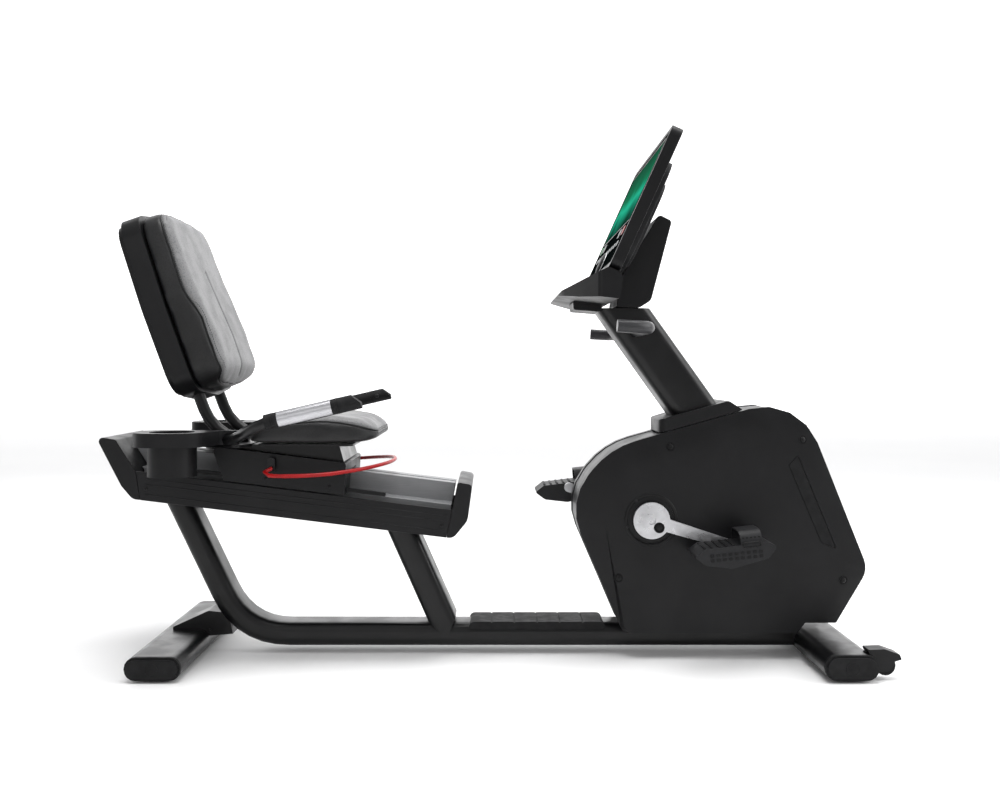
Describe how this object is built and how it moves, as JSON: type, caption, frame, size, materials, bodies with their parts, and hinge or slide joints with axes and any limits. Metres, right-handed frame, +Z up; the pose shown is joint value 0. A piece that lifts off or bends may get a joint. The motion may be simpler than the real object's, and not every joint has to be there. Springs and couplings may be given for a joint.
{
  "type": "recumbent exercise bike",
  "caption": "Recumbent exercise bike with a sliding padded seat and back, side handles, belt drive in a rounded shroud, cranks, mast and wide console.",
  "frame": {"origin": "on the floor under the middle of the machine's bounding box", "axes": "+X is forward, the way the rider faces, +Y is the rider's left, +Z is up"},
  "size_m": [1.7218, 0.6748, 1.159],
  "materials": {
    "frame_paint": "satin black powder coat",
    "black_plastic": "fine moulded grain",
    "grey_plastic": "fine moulded grain",
    "vinyl": "stitched upholstery vinyl over foam",
    "rubber": "soft matt rubber",
    "silver": "satin silver casting",
    "rail_alloy": "extruded, fine lines along its length",
    "steel": "brushed along its length",
    "flywheel_iron": "turned faces",
    "red_paint": "glossy coat over rod",
    "screen": "dark glossy panel"
  },
  "bodies": {
    "frame": {"main_frame": "frame_paint", "rear_foot_tube": "frame_paint", "front_foot_tube": "frame_paint", "rear_foot_cap_right": "rubber", "rear_foot_cap_left": "rubber", "rear_leveller_right": "rubber", "rear_leveller_left": "rubber", "front_foot_cap_right": "rubber", "front_foot_cap_left": "rubber", "front_leveller_right": "rubber", "front_leveller_left": "rubber", "step_tread": "rubber", "rail_cover": "black_plastic", "seat_rail": "rail_alloy", "rail_end_cap_rear": "black_plastic", "rail_end_cap_front": "black_plastic", "shroud_right": "black_plastic", "shroud_left": "black_plastic", "shroud_rim_front": "black_plastic", "shroud_rim_rear": "black_plastic", "vent_trim_right": "rubber", "vent_trim_left": "rubber", "drive_bracket": "frame_paint", "drive_belt": "rubber", "mast": "frame_paint", "mast_collar": "black_plastic", "console_housing": "black_plastic", "screen_glass": "screen", "console_back_cover": "grey_plastic", "accessory_tray": "black_plastic", "console_port_module": "black_plastic", "console_pod": "black_plastic", "console_handlebar": "rubber", "wheel_bracket_right": "black_plastic", "wheel_bracket_left": "black_plastic"},
    "seat": {"carriage_housing": "black_plastic", "seat_frame": "frame_paint", "seat_cushion": "vinyl", "back_shell": "black_plastic", "back_cushion": "vinyl", "cup_holder_right": "black_plastic", "cup_holder_left": "black_plastic", "handle_grip_right": "rubber", "handle_grip_left": "rubber", "pulse_plate_right": "steel", "pulse_plate_left": "steel"},
    "lever": {"lever_shaft": "frame_paint", "release_lever": "red_paint"},
    "roller_rear": {"carriage_roller_rear": "rubber"},
    "roller_front": {"carriage_roller_front": "rubber"},
    "button_right": {"thumb_button_right": "grey_plastic"},
    "button_left": {"thumb_button_left": "grey_plastic"},
    "crank": {"crank_axle_and_pulley": "steel", "crank_arm_right": "silver", "crank_arm_left": "silver"},
    "pedal_right": {"pedal_right": "grey_plastic"},
    "pedal_left": {"pedal_left": "grey_plastic"},
    "flywheel": {"flywheel": "flywheel_iron"},
    "wheel_right": {"transport_wheel_right": "rubber"},
    "wheel_left": {"transport_wheel_left": "rubber"}
  },
  "joints": [
    {"name": "seat_slide", "type": "slide", "parent": "frame", "child": "seat", "axis": [0.9925, 0, -0.1219], "range_m": [-0.1, 0.14]},
    {"name": "lever_pivot", "type": "hinge", "parent": "seat", "child": "lever", "pos_m": [-0.47757, 0, 0.44842], "axis": [0, -1, 0], "range_deg": [0, 10], "stiffness_Nm_per_rad": 4, "springref_deg": -20.05},
    {"name": "roller_rear_roll", "type": "hinge", "parent": "seat", "child": "roller_rear", "pos_m": [-0.55384, 0, 0.45909], "axis": [0, 1, 0], "range_deg": [-700, 960]},
    {"name": "roller_front_roll", "type": "hinge", "parent": "seat", "child": "roller_front", "pos_m": [-0.35235, 0, 0.43435], "axis": [0, 1, 0], "range_deg": [-700, 960]},
    {"name": "button_right_press", "type": "slide", "parent": "seat", "child": "button_right", "axis": [0, -1, 0], "range_m": [0, 0.0015], "stiffness_N_per_m": 300, "springref_m": -0.002},
    {"name": "button_left_press", "type": "slide", "parent": "seat", "child": "button_left", "axis": [0, 1, 0], "range_m": [0, 0.0015], "stiffness_N_per_m": 300, "springref_m": -0.002},
    {"name": "crank_spin", "type": "hinge", "parent": "frame", "child": "crank", "pos_m": [0.361, 0, 0.313], "axis": [0, 1, 0], "continuous": true},
    {"name": "pedal_right_spin", "type": "hinge", "parent": "crank", "child": "pedal_right", "pos_m": [0.52357, -0.168, 0.2633], "axis": [0, 1, 0], "continuous": true},
    {"name": "pedal_left_spin", "type": "hinge", "parent": "crank", "child": "pedal_left", "pos_m": [0.19843, 0.168, 0.3627], "axis": [0, 1, 0], "continuous": true},
    {"name": "flywheel_spin", "type": "hinge", "parent": "frame", "child": "flywheel", "pos_m": [0.65, 0, 0.3], "axis": [0, 1, 0], "continuous": true},
    {"name": "wheel_right_spin", "type": "hinge", "parent": "frame", "child": "wheel_right", "pos_m": [0.8306, -0.235, 0.0295], "axis": [0, 1, 0], "continuous": true},
    {"name": "wheel_left_spin", "type": "hinge", "parent": "frame", "child": "wheel_left", "pos_m": [0.8306, 0.235, 0.0295], "axis": [0, 1, 0], "continuous": true}
  ],
  "couplings": [
    {"joint": "roller_rear_roll", "follows": "seat_slide", "rad_per_m": 111.11},
    {"joint": "roller_front_roll", "follows": "seat_slide", "rad_per_m": 111.11},
    {"joint": "flywheel_spin", "follows": "crank_spin", "ratio": 4.1818}
  ]
}
